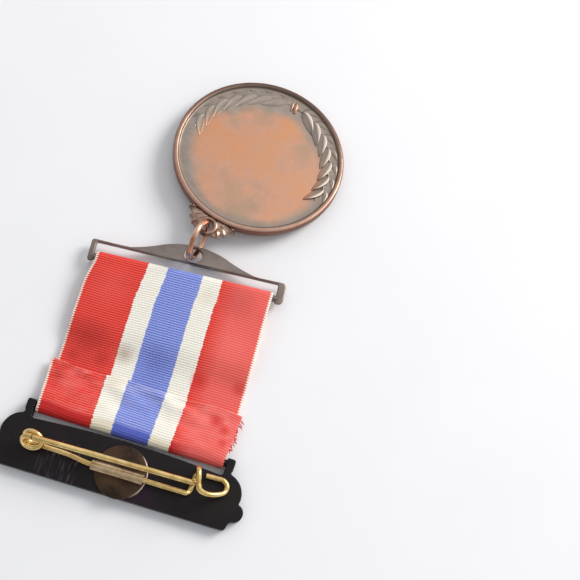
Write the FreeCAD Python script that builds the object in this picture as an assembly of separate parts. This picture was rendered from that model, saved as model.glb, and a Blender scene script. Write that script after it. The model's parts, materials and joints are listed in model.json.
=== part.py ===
import FreeCAD, Part
import math
import os

# A military service medal, lying face down. Millimetres.
# +X runs across the ribbon, +Y from the brooch bar towards the medal, +Z up,
# away from the surface that the medal lies on, so the back faces +Z.
# Everything is laid out from the middle of the ribbon's upper end (X = 0, Y = 0)
# and moved at the end so that the origin is the middle of the whole box's underside.
ORIGIN_X = 0.45
ORIGIN_Y = 33.97

V = FreeCAD.Vector

# ribbon
RIBBON_W = 34.6
RIBBON_X = 0.3
CLOTH = 0.45
LAYER_GAP = 0.04

# brooch bar
BROOCH_X = 0.4
BROOCH_T = 2.0
BROOCH_BOTTOM = -10.2
SLOT_HALF = 17.8
SLOT_LOW = -1.1
SLOT_CREST = -0.35
POST_TOP = 2.2

# the round rods that the ribbon goes round, one in each bar
ROD_R = 0.65
TURN_IN = 0.75
TURN_OUT = TURN_IN + CLOTH
BROOCH_ROD = V(0, 1.3, 1.25)
SUSP_ROD = V(0, 32.4, 1.9)
SUSP_ANGLE = 4.1

# suspension bar, along its own length (s) and height (t) from its rod
SUSP_T = 1.0
SUSP_LEFT = -18.3
SUSP_RIGHT = 19.5
SUSP_SLOT_LEFT = -17.3
SUSP_SLOT_RIGHT = 18.0
SUSP_SLOT_TOP = 2.95
SUSP_RAIL_TOP = 3.4
SUSP_ARCH_TOP = 6.6
SUSP_MID = 1.0
SUSP_HOLE_T = 4.65
SUSP_HOLE_R = 1.45
SUSP_HOLE_MOUTH_R = 1.85
SUSP_HOLE_LAND = 0.1

# jump ring
RING_R = 3.6
RING_WIRE_R = 0.53
RING_LEAN = 82.0

# medal
MEDAL_R = 17.1
MEDAL_T = 2.1
RIM_W = 1.2
FIELD_DEPTH = 0.45
MEDAL_CENTRE = V(6.56, 61.27, 0)
MEDAL_TURN = 16.0
MEDAL_TILT = 4.0
EYE_Y = -19.0
EYE_R = 1.2
EYE_OUT = 2.0
LUG_T = 1.3
LEAF_PAIRS = 7
LEAF_L = 4.3
LEAF_W = 1.5
BRANCH_R = 13.9
LEAF_STEP = 13.0

# safety pin, one length of wire
WIRE_R = 0.5
PATCH_R = 4.75
PATCH_T = 0.4
COIL_R = 1.65
COIL_TURNS = 1.5
COIL_PITCH = 1.16
COIL_X = -15.1
COIL_Y = -5.2
COIL_LEAN = 34.0
BRIDGE_X = -4.4
BRIDGE_L = 9.5
BRIDGE_Y = -6.05
BRIDGE_WALL = 0.45
LEG_Z = BROOCH_T + PATCH_T + WIRE_R + 0.02

X = V(1, 0, 0)
Y = V(0, 1, 0)
Z = V(0, 0, 1)

nodes = {}


def prism(points, low, high):
    corners = [V(x, y, low) for x, y in points]
    face = Part.Face(Part.makePolygon(corners + corners[:1]))
    return face.extrude(V(0, 0, high - low))


def outline_prism(edges, low, high):
    wire = Part.Wire(edges)
    wire.translate(V(0, 0, low))
    return Part.Face(wire).extrude(V(0, 0, high - low))


def line(a, b):
    return Part.makeLine(V(a[0], a[1], 0), V(b[0], b[1], 0))


def arc(a, mid, b):
    return Part.Arc(V(a[0], a[1], 0), V(mid[0], mid[1], 0), V(b[0], b[1], 0)).toShape()


def rod(start, end, radius):
    return Part.makeCylinder(radius, (end - start).Length, start, end - start)


def bent_wire(points, radius):
    pieces = [rod(a, b, radius) for a, b in zip(points, points[1:])]
    pieces += [Part.makeSphere(radius, p) for p in points[1:-1]]
    return pieces[0].multiFuse(pieces[1:]).removeSplitter()


def joined(first, *others):
    return first.fuse(list(others)).removeSplitter()


# ---- brooch bar ---------------------------------------------------------

def brooch_bar():
    right = [
        (19.9, BROOCH_BOTTOM), (20.9, -9.7), (21.2, -8.9), (22.1, -8.3),
        (23.2, -6.8), (21.9, -5.2), (21.75, -3.6), (19.3, -0.5),
        (19.3, POST_TOP - 0.4), (18.9, POST_TOP), (SLOT_HALF, POST_TOP),
    ]

    def half(sign):
        def p(i):
            return (BROOCH_X + sign * right[i][0], right[i][1])

        return [
            line((BROOCH_X, BROOCH_BOTTOM), p(0)),
            line(p(0), p(1)),
            line(p(1), p(2)),
            line(p(2), p(3)),
            arc(p(3), p(4), p(5)),
            arc(p(5), (BROOCH_X + sign * 21.25, -1.7), p(7)),
            line(p(7), p(8)),
            line(p(8), p(9)),
            line(p(9), p(10)),
        ]

    slot_left = BROOCH_X - SLOT_HALF
    slot_right = BROOCH_X + SLOT_HALF
    slot = [
        line((slot_left, POST_TOP), (slot_left, SLOT_LOW + 0.6)),
        line((slot_left, SLOT_LOW + 0.6), (slot_left + 0.6, SLOT_LOW)),
        arc((slot_left + 0.6, SLOT_LOW), (BROOCH_X, SLOT_CREST), (slot_right - 0.6, SLOT_LOW)),
        line((slot_right - 0.6, SLOT_LOW), (slot_right, SLOT_LOW + 0.6)),
        line((slot_right, SLOT_LOW + 0.6), (slot_right, POST_TOP)),
    ]
    edges = Part.__sortEdges__(half(1) + half(-1) + slot)
    plate = outline_prism(edges, 0, BROOCH_T)
    return plate


def brooch_rod():
    start = V(BROOCH_X - SLOT_HALF - 0.8, BROOCH_ROD.y, BROOCH_ROD.z)
    end = V(BROOCH_X + SLOT_HALF + 0.8, BROOCH_ROD.y, BROOCH_ROD.z)
    return rod(start, end, ROD_R)


# ---- safety pin ---------------------------------------------------------

PATCH_CENTRE = V(0.9, -5.75, BROOCH_T)
COIL_LENGTH = COIL_TURNS * COIL_PITCH
# the coil leans: its turns climb towards +Y and it runs from the leg towards -Y
LEAN_SIN = math.sin(math.radians(COIL_LEAN))
LEAN_COS = math.cos(math.radians(COIL_LEAN))
COIL_UP = V(0, LEAN_SIN, LEAN_COS)
COIL_RUN = V(0, -LEAN_COS, LEAN_SIN)
COIL_CENTRE = V(COIL_X, COIL_Y, LEG_Z + COIL_R * LEAN_COS + COIL_LENGTH / 2 * LEAN_SIN)
LEG_START = COIL_CENTRE - COIL_UP * COIL_R - COIL_RUN * (COIL_LENGTH / 2)
NEEDLE_START = COIL_CENTRE + COIL_UP * COIL_R + COIL_RUN * (COIL_LENGTH / 2)
NEEDLE_TIP = V(15.2, -4.1, LEG_Z + 1.35)
NEEDLE_TAPER = 3.2
NEEDLE_GAP = 0.12


def pin_base_disc():
    return Part.makeCylinder(PATCH_R, PATCH_T, PATCH_CENTRE, Z)


def pin_bridge():
    # a strap folded over the fixed leg, with its two feet on the disc
    low = BROOCH_T + PATCH_T
    inner = WIRE_R + 0.02
    outer = inner + BRIDGE_WALL

    def p(y, z):
        return V(0, BRIDGE_Y + y, z)

    section = [
        Part.makeLine(p(-outer, low), p(-outer, LEG_Z)),
        Part.Arc(p(-outer, LEG_Z), p(0, LEG_Z + outer), p(outer, LEG_Z)).toShape(),
        Part.makeLine(p(outer, LEG_Z), p(outer, low)),
        Part.makeLine(p(outer, low), p(inner, low)),
        Part.makeLine(p(inner, low), p(inner, LEG_Z)),
        Part.Arc(p(inner, LEG_Z), p(0, LEG_Z + inner), p(-inner, LEG_Z)).toShape(),
        Part.makeLine(p(-inner, LEG_Z), p(-inner, low)),
        Part.makeLine(p(-inner, low), p(-outer, low)),
    ]
    body = Part.Face(Part.Wire(section)).extrude(V(BRIDGE_L, 0, 0))
    body.translate(V(BRIDGE_X, 0, 0))
    return body


def pin_leg():
    points = [LEG_START, V(-8.5, -5.6, LEG_Z), V(-4.9, BRIDGE_Y, LEG_Z), V(12.1, BRIDGE_Y, LEG_Z)]
    return bent_wire(points, WIRE_R)


def pin_catch():
    over = NEEDLE_TIP.z + 2 * WIRE_R + 0.55
    low = LEG_Z - 0.3
    points = [
        V(12.1, BRIDGE_Y, LEG_Z), V(12.8, BRIDGE_Y, LEG_Z), V(13.2, -5.75, low),
        V(13.55, -4.6, low), V(13.55, -3.0, low),
        V(13.6, -1.95, low + 0.9), V(13.75, -1.6, over - 0.7), V(14.0, -2.3, over),
        V(14.5, -4.2, over), V(14.95, -5.1, over - 0.1), V(16.2, -5.4, over - 1.0),
        V(18.1, -4.9, low + 1.0), V(19.5, -3.8, low), V(19.5, -2.8, low), V(18.6, -2.05, low),
        V(15.4, -2.05, low),
    ]
    return bent_wire(points, WIRE_R)


def pin_coil():
    helix = Part.makeHelix(COIL_PITCH, COIL_LENGTH, COIL_R)
    ring = Part.Wire(Part.makeCircle(WIRE_R, V(COIL_R, 0, 0), Y))
    body = Part.Wire(helix.Edges).makePipeShell([ring], True, True)
    # the helix runs along +Z from (R, 0, 0): turn it to run along -Y from the bottom, then lean it
    body.translate(V(0, 0, -COIL_LENGTH / 2))
    body.rotate(V(0, 0, 0), X, -90)
    body.rotate(V(0, 0, 0), Y, 90)
    body = body.mirror(V(0, 0, 0), Y)
    body.rotate(V(0, 0, 0), X, -COIL_LEAN)
    body.translate(COIL_CENTRE)
    return body


def pin_needle():
    along = NEEDLE_TIP - NEEDLE_START
    start = NEEDLE_START + along * (NEEDLE_GAP / along.Length)
    shoulder = NEEDLE_TIP - along * (NEEDLE_TAPER / along.Length)
    shank = rod(start, shoulder, WIRE_R)
    point = Part.makeCone(WIRE_R, 0.08, NEEDLE_TAPER, shoulder, along)
    return joined(shank, point)


# ---- ribbon -------------------------------------------------------------

def susp_y(x):
    return SUSP_ROD.y + x * math.tan(math.radians(SUSP_ANGLE))


def strip(profile, x_mid):
    # profile(x) gives the closed side outline at one edge of the ribbon
    sides = []
    for x in (x_mid - RIBBON_W / 2, x_mid + RIBBON_W / 2):
        corners = [V(x, y, z) for y, z in profile(x)]
        sides.append(Part.makePolygon(corners + corners[:1]))
    return Part.makeLoft(sides, True, True)


def layer(centre_line):
    # gives a layer its thickness above the line of its underside
    def profile(x):
        low = centre_line(x)
        return low + [(y, z + CLOTH) for y, z in reversed(low)]
    return profile


FRONT_Z = BROOCH_ROD.z - TURN_OUT
FRONT_RISE = 24.0
FLAP_END = 10.3


def ribbon_front():
    def under(x):
        end = susp_y(x)
        return [
            (BROOCH_ROD.y, FRONT_Z), (FRONT_RISE, FRONT_Z), (end - 3.5, SUSP_ROD.z - TURN_OUT - 0.25),
            (end, SUSP_ROD.z - TURN_OUT),
        ]
    return strip(layer(under), RIBBON_X)


def ribbon_back():
    low = FRONT_Z + CLOTH + LAYER_GAP

    def under(x):
        end = susp_y(x)
        return [
            (4.0, low), (15.0, low), (24.0, low + 0.25), (end - 3.5, SUSP_ROD.z + TURN_IN - 0.3),
            (end, SUSP_ROD.z + TURN_IN),
        ]
    return strip(layer(under), RIBBON_X)


def ribbon_flap():
    low = FRONT_Z + 2 * (CLOTH + LAYER_GAP)

    def under(x):
        return [
            (BROOCH_ROD.y, BROOCH_ROD.z + TURN_IN), (2.6, BROOCH_ROD.z + TURN_IN - 0.25),
            (4.6, low + 0.05), (FLAP_END, low),
        ]
    return strip(layer(under), RIBBON_X - 0.2)


def turn(length, outward):
    # half of a cloth turn round a rod along X; outward is +1 or -1 along Y
    section = [
        Part.Arc(V(0, 0, TURN_OUT), V(0, outward * TURN_OUT, 0), V(0, 0, -TURN_OUT)).toShape(),
        Part.makeLine(V(0, 0, -TURN_OUT), V(0, 0, -TURN_IN)),
        Part.Arc(V(0, 0, -TURN_IN), V(0, outward * TURN_IN, 0), V(0, 0, TURN_IN)).toShape(),
        Part.makeLine(V(0, 0, TURN_IN), V(0, 0, TURN_OUT)),
    ]
    face = Part.Face(Part.Wire(section))
    body = face.extrude(V(length, 0, 0))
    body.translate(V(-length / 2, 0, 0))
    return body


def ribbon_top_turn():
    body = turn(RIBBON_W, -1)
    body.translate(V(RIBBON_X, BROOCH_ROD.y, BROOCH_ROD.z))
    return body


def ribbon_bottom_turn():
    slant = math.cos(math.radians(SUSP_ANGLE))
    body = turn(RIBBON_W / slant, 1)
    body.translate(V(RIBBON_X / slant, 0, 0))
    return place_on_susp(body)


def ribbon_stitches():
    # a row of tacking stitches through the three layers, under the flap
    low = FRONT_Z + 0.1
    high = FRONT_Z + 2 * (CLOTH + LAYER_GAP) + 0.3
    pieces = []
    for i in range(9):
        x = RIBBON_X - 14.4 + 3.6 * i
        pieces.append(rod(V(x, 7.2, low), V(x, 7.2, high), 0.12))
    return Part.makeCompound(pieces)


# ---- suspension bar -----------------------------------------------------

def place_on_susp(shape):
    shape = shape.copy()
    shape.rotate(V(0, 0, 0), Z, SUSP_ANGLE)
    shape.translate(SUSP_ROD)
    return shape


def suspension_bar():
    half = SUSP_T / 2
    foot_left = SUSP_MID - 12.0
    foot_right = SUSP_MID + 12.0
    outline = [
        line((SUSP_LEFT + 0.3, -0.9), (SUSP_SLOT_LEFT, -0.9)),
        line((SUSP_SLOT_LEFT, -0.9), (SUSP_SLOT_LEFT, SUSP_SLOT_TOP)),
        line((SUSP_SLOT_LEFT, SUSP_SLOT_TOP), (SUSP_SLOT_RIGHT, SUSP_SLOT_TOP)),
        line((SUSP_SLOT_RIGHT, SUSP_SLOT_TOP), (SUSP_SLOT_RIGHT, -0.9)),
        line((SUSP_SLOT_RIGHT, -0.9), (SUSP_RIGHT - 0.5, -0.9)),
        line((SUSP_RIGHT - 0.5, -0.9), (SUSP_RIGHT, 0.2)),
        line((SUSP_RIGHT, 0.2), (SUSP_RIGHT, SUSP_RAIL_TOP - 0.7)),
        line((SUSP_RIGHT, SUSP_RAIL_TOP - 0.7), (SUSP_RIGHT - 0.7, SUSP_RAIL_TOP)),
        line((SUSP_RIGHT - 0.7, SUSP_RAIL_TOP), (foot_right, SUSP_RAIL_TOP)),
        arc((foot_right, SUSP_RAIL_TOP), (SUSP_MID + 9.2, 4.2), (SUSP_MID + 6.0, 5.4)),
        arc((SUSP_MID + 6.0, 5.4), (SUSP_MID, SUSP_ARCH_TOP), (SUSP_MID - 6.0, 5.4)),
        arc((SUSP_MID - 6.0, 5.4), (SUSP_MID - 9.2, 4.2), (foot_left, SUSP_RAIL_TOP)),
        line((foot_left, SUSP_RAIL_TOP), (SUSP_LEFT + 0.3, SUSP_RAIL_TOP)),
        line((SUSP_LEFT + 0.3, SUSP_RAIL_TOP), (SUSP_LEFT, SUSP_RAIL_TOP - 0.4)),
        line((SUSP_LEFT, SUSP_RAIL_TOP - 0.4), (SUSP_LEFT, -0.4)),
        line((SUSP_LEFT, -0.4), (SUSP_LEFT + 0.3, -0.9)),
    ]
    plate = outline_prism(outline, -half, half)
    centre = V(SUSP_MID, SUSP_HOLE_T, 0)
    land = SUSP_HOLE_LAND
    hole = Part.makeCylinder(SUSP_HOLE_R, SUSP_T, centre - Z * half, Z)
    mouth_up = Part.makeCone(SUSP_HOLE_R, SUSP_HOLE_MOUTH_R, half - land, centre + Z * land, Z)
    mouth_down = Part.makeCone(SUSP_HOLE_R, SUSP_HOLE_MOUTH_R, half - land, centre - Z * land, Z * -1)
    plate = plate.cut(hole).cut(mouth_up).cut(mouth_down)
    return place_on_susp(plate)


def suspension_rod():
    body = rod(V(SUSP_SLOT_LEFT - 0.5, 0, 0), V(SUSP_SLOT_RIGHT + 0.5, 0, 0), ROD_R)
    return place_on_susp(body)


# ---- medal --------------------------------------------------------------

def medal_placement():
    turned = FreeCAD.Rotation(Z, -MEDAL_TURN) * FreeCAD.Rotation(X, -MEDAL_TILT)
    lift = MEDAL_R * math.sin(math.radians(MEDAL_TILT))
    return FreeCAD.Placement(MEDAL_CENTRE + Z * lift, turned)


MEDAL = medal_placement()


def on_medal(shape):
    shape = shape.copy()
    shape.Placement = MEDAL.multiply(shape.Placement)
    return shape


def medal_disc():
    inner = MEDAL_R - RIM_W
    back = MEDAL_T - FIELD_DEPTH
    profile = [
        (0, FIELD_DEPTH + 0.15), (inner - 1.0, FIELD_DEPTH), (inner, FIELD_DEPTH), (inner + 0.25, 0),
        (MEDAL_R - 0.2, 0), (MEDAL_R, 0.2), (MEDAL_R, MEDAL_T - 0.2), (MEDAL_R - 0.2, MEDAL_T),
        (inner + 0.25, MEDAL_T), (inner, back), (inner - 1.0, back), (0, back - 0.15),
    ]
    corners = [V(r, 0, z) for r, z in profile]
    face = Part.Face(Part.makePolygon(corners + corners[:1]))
    return on_medal(face.revolve(V(0, 0, 0), Z, 360))


def leaf(tip_angle, root, length, width, low, high):
    # a pointed leaf between two arcs, from root, along tip_angle
    edges = [
        arc((0, 0), (length * 0.45, width / 2), (length, 0)),
        arc((length, 0), (length * 0.45, -width / 2), (0, 0)),
    ]
    body = outline_prism(edges, low, high)
    body.rotate(V(0, 0, 0), Z, tip_angle)
    body.translate(V(root[0], root[1], 0))
    return body


def wreath_branch(sign):
    low = MEDAL_T - FIELD_DEPTH
    high = MEDAL_T - 0.05
    pieces = []
    for i in range(LEAF_PAIRS):
        angle = math.radians(90 - sign * (8.0 + LEAF_STEP * i))
        radius = BRANCH_R - 0.5 + 0.12 * i
        root = (radius * math.cos(angle), radius * math.sin(angle))
        along = math.degrees(angle) - sign * 90
        for side in (1, -1):
            turned = along + side * 24
            pieces.append(leaf(turned, root, LEAF_L - 0.1 * i, LEAF_W, low, high))
    start = math.radians(90 - sign * 2.0)
    end = math.radians(90 - sign * (8.0 + LEAF_STEP * LEAF_PAIRS))
    mid = (start + end) / 2
    r_in = BRANCH_R - 0.65
    r_out = BRANCH_R - 0.25

    def at(radius, angle):
        return (radius * math.cos(angle), radius * math.sin(angle))

    stem = outline_prism([
        arc(at(r_in, start), at(r_in, mid), at(r_in, end)), line(at(r_in, end), at(r_out, end)),
        arc(at(r_out, end), at(r_out, mid), at(r_out, start)), line(at(r_out, start), at(r_in, start)),
    ], low, high - 0.15)
    return on_medal(stem.multiFuse(pieces).removeSplitter())


def wreath_tie():
    low = MEDAL_T - FIELD_DEPTH
    knot = Part.makeBox(0.8, 2.6, FIELD_DEPTH - 0.02, V(-0.4, BRANCH_R - 1.7, low))
    return on_medal(knot)


def front_star():
    points = []
    for i in range(16):
        radius = 9.0 if i % 2 == 0 else 4.6
        angle = math.radians(90 + 22.5 * i)
        points.append((radius * math.cos(angle), radius * math.sin(angle)))
    return on_medal(prism(points, 0.12, FIELD_DEPTH + 0.05))


def lug_scroll():
    # the bow-shaped ornament that joins the eye to the disc's edge
    mid = MEDAL_T / 2
    low = mid - LUG_T / 2
    high = mid + LUG_T / 2
    top = -MEDAL_R + 0.9
    edges = [
        line((-5.0, top), (5.0, top)),
        arc((5.0, top), (4.4, -18.0), (2.9, -18.6)),
        arc((2.9, -18.6), (3.0, -19.7), (1.9, -20.2)),
        line((1.9, -20.2), (-1.9, -20.2)),
        arc((-1.9, -20.2), (-3.0, -19.7), (-2.9, -18.6)),
        arc((-2.9, -18.6), (-4.4, -18.0), (-5.0, top)),
    ]
    body = outline_prism(edges, low, high)
    room = Part.makeCylinder(EYE_OUT + 0.01, LUG_T + 1, V(0, EYE_Y, low - 0.5), Z)
    disc = Part.makeCylinder(MEDAL_R + 0.01, MEDAL_T, V(0, 0, 0), Z)
    return on_medal(body.cut(room).cut(disc))


def lug_eye():
    mid = MEDAL_T / 2
    low = mid - LUG_T / 2
    ring = Part.makeCylinder(EYE_OUT, LUG_T, V(0, EYE_Y, low), Z)
    hole = Part.makeCylinder(EYE_R, LUG_T + 1, V(0, EYE_Y, low - 0.5), Z)
    disc = Part.makeCylinder(MEDAL_R + 0.01, MEDAL_T, V(0, 0, 0), Z)
    return on_medal(ring.cut(hole).cut(disc))


# ---- jump ring ----------------------------------------------------------

BAR_HOLE = FreeCAD.Placement(SUSP_ROD, FreeCAD.Rotation(Z, SUSP_ANGLE)).multVec(V(SUSP_MID, SUSP_HOLE_T, 0))
EYE_POINT = MEDAL.multVec(V(0, EYE_Y, MEDAL_T / 2))


def ring_frame():
    # the ring passes through both holes and leans, its top towards -X
    chord = EYE_POINT - BAR_HOLE
    along = V(chord).normalize()
    lean = math.radians(RING_LEAN)
    up = V(-math.cos(lean), 0, math.sin(lean))
    rise = (up - along * up.dot(along)).normalize()
    height = math.sqrt(RING_R ** 2 - (chord.Length / 2) ** 2)
    centre = (BAR_HOLE + EYE_POINT) * 0.5 + rise * height
    return centre, along.cross(rise)


def jump_ring():
    centre, normal = ring_frame()
    return Part.makeTorus(RING_R, RING_WIRE_R, centre, normal)


nodes["brooch_bar"] = brooch_bar()
nodes["brooch_rod"] = brooch_rod()
nodes["pin_base_disc"] = pin_base_disc()
nodes["pin_bridge"] = pin_bridge()
nodes["pin_leg"] = pin_leg()
nodes["pin_catch"] = pin_catch()
nodes["pin_coil"] = pin_coil()
nodes["pin_needle"] = pin_needle()
nodes["ribbon_front"] = ribbon_front()
nodes["ribbon_back"] = ribbon_back()
nodes["ribbon_flap"] = ribbon_flap()
nodes["ribbon_top_turn"] = ribbon_top_turn()
nodes["ribbon_bottom_turn"] = ribbon_bottom_turn()
nodes["ribbon_stitches"] = ribbon_stitches()
nodes["suspension_bar"] = suspension_bar()
nodes["suspension_rod"] = suspension_rod()
nodes["jump_ring"] = jump_ring()
nodes["medal_disc"] = medal_disc()
nodes["wreath_right"] = wreath_branch(1)
nodes["wreath_left"] = wreath_branch(-1)
nodes["wreath_tie"] = wreath_tie()
nodes["front_star"] = front_star()
nodes["lug_scroll"] = lug_scroll()
nodes["lug_eye"] = lug_eye()

os.makedirs("parts", exist_ok=True)
home = V(-ORIGIN_X, -ORIGIN_Y, 0)
box = FreeCAD.BoundBox()
for name, shape in nodes.items():
    shape.translate(home)
    shape.exportStep("parts/" + name + ".step")
    box.add(shape.optimalBoundingBox())
    print(name, "volume", round(shape.Volume, 3), "valid", shape.isValid(), "solids", len(shape.Solids))
print("box", box)
centre, normal = ring_frame()
print("coil centre", COIL_CENTRE + home)
print("brooch rod", BROOCH_ROD + home)
print("suspension rod", SUSP_ROD + home)
print("bar hole", BAR_HOLE + home)
print("eye", EYE_POINT + home)
print("ring centre", centre + home, "normal", normal)
print("medal normal", MEDAL.Rotation.multVec(Z))
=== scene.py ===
import json
import math
import random

import bmesh
import bpy
from mathutils import Matrix, Vector, noise

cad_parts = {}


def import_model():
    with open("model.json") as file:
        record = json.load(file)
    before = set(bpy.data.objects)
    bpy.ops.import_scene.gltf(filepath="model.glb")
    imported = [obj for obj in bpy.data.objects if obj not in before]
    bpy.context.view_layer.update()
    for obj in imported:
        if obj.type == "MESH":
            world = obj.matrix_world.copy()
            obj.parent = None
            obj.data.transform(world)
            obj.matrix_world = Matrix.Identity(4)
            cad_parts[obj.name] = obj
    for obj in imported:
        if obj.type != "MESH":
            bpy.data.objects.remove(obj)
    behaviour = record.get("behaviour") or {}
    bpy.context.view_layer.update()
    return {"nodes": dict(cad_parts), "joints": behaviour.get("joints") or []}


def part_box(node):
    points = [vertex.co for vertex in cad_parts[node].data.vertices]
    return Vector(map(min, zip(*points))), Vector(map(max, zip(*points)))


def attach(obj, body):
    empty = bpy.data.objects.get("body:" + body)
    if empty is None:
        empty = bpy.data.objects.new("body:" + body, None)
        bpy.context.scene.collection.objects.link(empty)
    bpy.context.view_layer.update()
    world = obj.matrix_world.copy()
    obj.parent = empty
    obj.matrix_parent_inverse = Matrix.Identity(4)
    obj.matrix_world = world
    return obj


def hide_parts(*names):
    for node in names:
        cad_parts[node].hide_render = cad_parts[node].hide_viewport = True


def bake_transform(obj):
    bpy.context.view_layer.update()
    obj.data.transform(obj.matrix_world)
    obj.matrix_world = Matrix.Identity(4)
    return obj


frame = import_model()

# Everything is in metres, in the frame of the CAD model. MM turns a size in millimetres into metres.
MM = 0.001
X = Vector((1, 0, 0))
Z = Vector((0, 0, 1))
JOINTS = {j["name"]: j for j in frame["joints"]}
SEED = 638

# ---- where things are, read from the frame ----------------------------------

def joint_point(name):
    return Vector(JOINTS[name]["pos_m"])


def joint_axis(name):
    return Vector(JOINTS[name]["axis"]).normalized()


def box_mid(node):
    low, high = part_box(node)
    return (low + high) / 2


def basis(origin, x_axis, y_axis, z_axis):
    m = Matrix.Identity(4)
    for column, axis in enumerate((x_axis, y_axis, z_axis)):
        for row in range(3):
            m[row][column] = axis[row]
    for row in range(3):
        m[row][3] = origin[row]
    return m


ROD_TOP = joint_point("ribbon_swing")
ROD_LOW = joint_point("bar_swing")
BAR_ALONG = joint_axis("bar_swing")
BAR_UP = Z.cross(BAR_ALONG)
BAR_FRAME = basis(ROD_LOW, BAR_ALONG, BAR_UP, Z)

EYE = joint_point("medal_swing")
MEDAL_UP = joint_axis("medal_swing")
MEDAL_MID = box_mid("medal_disc")
MEDAL_Y = (MEDAL_MID - EYE).normalized()
MEDAL_X = MEDAL_Y.cross(MEDAL_UP).normalized()
MEDAL_FRAME = basis(MEDAL_MID, MEDAL_X, MEDAL_Y, MEDAL_UP)

RING_MID = joint_point("ring_turn")
RING_NORMAL = joint_axis("ring_turn")

# ---- mesh helpers ------------------------------------------------------------

def link(name, data):
    # an object of the scene that holds the data
    piece = bpy.data.objects.new(name, data)
    bpy.context.scene.collection.objects.link(piece)
    return piece


def from_bmesh(name, bm):
    mesh = bpy.data.meshes.new(name)
    bm.to_mesh(mesh)
    bm.free()
    return link(name, mesh)


def new_object(name, verts, faces, smooth=True):
    mesh = bpy.data.meshes.new(name)
    mesh.from_pydata([tuple(v) for v in verts], [], faces)
    mesh.validate()
    mesh.update()
    if smooth:
        mesh.polygons.foreach_set("use_smooth", [True] * len(mesh.polygons))
    return link(name, mesh)


def tidy_normals(piece):
    bm = bmesh.new()
    bm.from_mesh(piece.data)
    bmesh.ops.recalc_face_normals(bm, faces=bm.faces)
    bm.to_mesh(piece.data)
    bm.free()


def add_bevel(piece, width, segments=3, angle=35):
    bevel = piece.modifiers.new("bevel", "BEVEL")
    bevel.width = width
    bevel.segments = segments
    bevel.limit_method = "ANGLE"
    bevel.angle_limit = math.radians(angle)


def smooth_by_angle(piece, degrees=35):
    piece.data.polygons.foreach_set("use_smooth", [True] * len(piece.data.polygons))
    piece.data.set_sharp_from_angle(angle=math.radians(degrees))


def plate(name, outline, low, high, holes=()):
    # a flat plate: outline and holes are closed lists of (x, y), filled and given a thickness
    bm = bmesh.new()
    edges = []
    for loop in (outline, *holes):
        verts = [bm.verts.new((x, y, low)) for x, y in loop]
        edges += [bm.edges.new((a, b)) for a, b in zip(verts, verts[1:] + verts[:1])]
    bmesh.ops.triangle_fill(bm, use_beauty=True, use_dissolve=True, edges=edges)
    raised = bmesh.ops.extrude_face_region(bm, geom=bm.faces[:])
    for item in raised["geom"]:
        if isinstance(item, bmesh.types.BMVert):
            item.co.z = high
    bmesh.ops.recalc_face_normals(bm, faces=bm.faces)
    return from_bmesh(name, bm)


def skin(count, rings, loop=False):
    # faces over rings of count points each; with loop the last ring joins the first, without it both ends
    # are capped
    faces = []
    for i in range(rings if loop else rings - 1):
        for k in range(count):
            here, ahead = i * count, (i + 1) % rings * count
            turn = (k + 1) % count
            faces.append((here + k, here + turn, ahead + turn, ahead + k))
    if not loop:
        faces.append(tuple(reversed(range(count))))
        faces.append(tuple((rings - 1) * count + k for k in range(count)))
    return faces


def gather(parts):
    # the (points, faces) of several parts as those of one
    verts, faces = [], []
    for points, around in parts:
        faces += [tuple(i + len(verts) for i in f) for f in around]
        verts += points
    return verts, faces


def arc_points(centre, radius, start, end, count):
    # points round a circle, angles in degrees
    points = []
    for i in range(count + 1):
        a = math.radians(start + (end - start) * i / count)
        points.append((centre[0] + radius * math.cos(a), centre[1] + radius * math.sin(a)))
    return points


def arc_through(a, mid, b, count):
    # points on the circle through three points, from a to b
    ax, ay = a
    bx, by = mid
    cx, cy = b
    d = 2 * (ax * (by - cy) + bx * (cy - ay) + cx * (ay - by))
    ux = ((ax**2 + ay**2) * (by - cy) + (bx**2 + by**2) * (cy - ay) + (cx**2 + cy**2) * (ay - by)) / d
    uy = ((ax**2 + ay**2) * (cx - bx) + (bx**2 + by**2) * (ax - cx) + (cx**2 + cy**2) * (bx - ax)) / d
    radius = math.hypot(ax - ux, ay - uy)
    start = math.atan2(ay - uy, ax - ux)
    middle = math.atan2(by - uy, bx - ux)
    end = math.atan2(cy - uy, cx - ux)
    turn = 2 * math.pi
    if (middle - start) % turn < (end - start) % turn:
        sweep = (end - start) % turn
    else:
        sweep = -((start - end) % turn)
    return [
        (ux + radius * math.cos(start + sweep * i / count), uy + radius * math.sin(start + sweep * i / count))
        for i in range(count + 1)
    ]


def tube(name, points, radius, sides=24, per_span=10, taper=None, smooth_path=True):
    # a round wire along a smooth line through points; taper(t) scales its radius, t from 0 to 1
    path = smooth_line(points, per_span) if smooth_path else [Vector(p) for p in points]
    count = len(path)
    verts = []
    normal = None
    for i, p in enumerate(path):
        tangent = (path[min(i + 1, count - 1)] - path[max(i - 1, 0)]).normalized()
        if normal is None:
            normal = tangent.orthogonal().normalized()
        normal = (normal - tangent * normal.dot(tangent)).normalized()
        across = tangent.cross(normal)
        r = radius * (taper(i / (count - 1)) if taper else 1.0)
        for k in range(sides):
            a = 2 * math.pi * k / sides
            verts.append(p + (normal * math.cos(a) + across * math.sin(a)) * r)
    piece = new_object(name, verts, skin(sides, count))
    tidy_normals(piece)
    smooth_by_angle(piece, 50)
    return piece


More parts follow.
